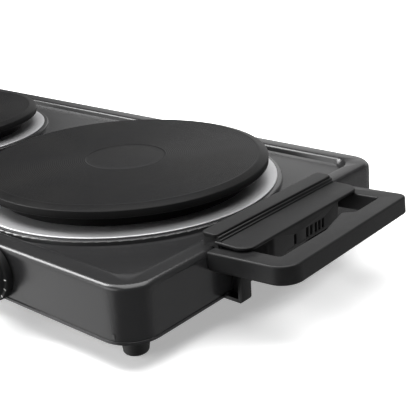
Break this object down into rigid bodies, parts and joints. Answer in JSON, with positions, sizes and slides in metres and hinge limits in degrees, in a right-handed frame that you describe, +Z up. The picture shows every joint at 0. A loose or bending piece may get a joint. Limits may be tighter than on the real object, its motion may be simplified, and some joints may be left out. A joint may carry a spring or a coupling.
{
  "type": "double hot plate",
  "caption": "Low black tabletop electric hot plate: cast-iron plates in steel trim rings on a pressed housing with end handles and front knobs.",
  "frame": {"origin": "centre of the bounding box, on the surface the feet stand on", "axes": "+X along the body towards the large plate, -Y towards the knobs, +Z up"},
  "size_m": [0.5476, 0.258, 0.0597],
  "materials": {
    "black_enamel_steel": "satin black enamel on pressed steel",
    "cast_iron_black": "black heat-proof coating over finely turned cast iron",
    "stainless_trim": "satin stainless sheet, brushed round",
    "black_moulded_plastic": "fine-textured black phenolic moulding",
    "black_rubber": "soft black rubber",
    "zinc_steel": "bright zinc-plated steel",
    "coil_ceramic": "pressed magnesia filling round a heating coil",
    "white_ceramic": "unglazed white steatite",
    "thermostat_steatite": "cream steatite switch body",
    "lamp_amber": "translucent amber lens",
    "lamp_holder_plastic": "white moulded lamp holder",
    "pointer_white": "white inlay",
    "wire_sleeve": "glass-fibre braided sleeve"
  },
  "bodies": {
    "base": {"base_pan": "black_enamel_steel", "cord_gland": "black_rubber", "feet": "black_rubber", "foot_screws": "zinc_steel", "handle_screws": "zinc_steel", "housing": "black_enamel_steel", "internal_wires": "wire_sleeve", "large_bush_nut": "zinc_steel", "large_clamp_bridge": "zinc_steel", "large_clamp_nut": "zinc_steel", "large_clamp_washer": "zinc_steel", "large_element": "coil_ceramic", "large_element_terminals": "white_ceramic", "large_heat_shield": "zinc_steel", "large_lamp_holder": "lamp_holder_plastic", "large_lamp_lens": "lamp_amber", "large_plate": "cast_iron_black", "large_plate_stud": "zinc_steel", "large_thermostat": "thermostat_steatite", "large_trim_ring": "stainless_trim", "left_handle": "black_moulded_plastic", "right_handle": "black_moulded_plastic", "small_bush_nut": "zinc_steel", "small_clamp_bridge": "zinc_steel", "small_clamp_nut": "zinc_steel", "small_clamp_washer": "zinc_steel", "small_element": "coil_ceramic", "small_element_terminals": "white_ceramic", "small_heat_shield": "zinc_steel", "small_lamp_holder": "lamp_holder_plastic", "small_lamp_lens": "lamp_amber", "small_plate": "cast_iron_black", "small_plate_stud": "zinc_steel", "small_thermostat": "thermostat_steatite", "small_trim_ring": "stainless_trim", "terminal_strip": "white_ceramic", "terminal_strip_screws": "zinc_steel"},
    "large_control": {"large_knob": "black_moulded_plastic", "large_knob_pointer": "pointer_white", "large_spindle": "zinc_steel"},
    "small_control": {"small_knob": "black_moulded_plastic", "small_knob_pointer": "pointer_white", "small_spindle": "zinc_steel"}
  },
  "joints": [
    {"name": "large_knob_turn", "type": "hinge", "parent": "base", "child": "large_control", "pos_m": [0.1184, -0.112, 0.0304], "axis": [0, 1, 0], "range_deg": [0, 270]},
    {"name": "small_knob_turn", "type": "hinge", "parent": "base", "child": "small_control", "pos_m": [-0.0966, -0.112, 0.0304], "axis": [0, 1, 0], "range_deg": [0, 270]}
  ]
}
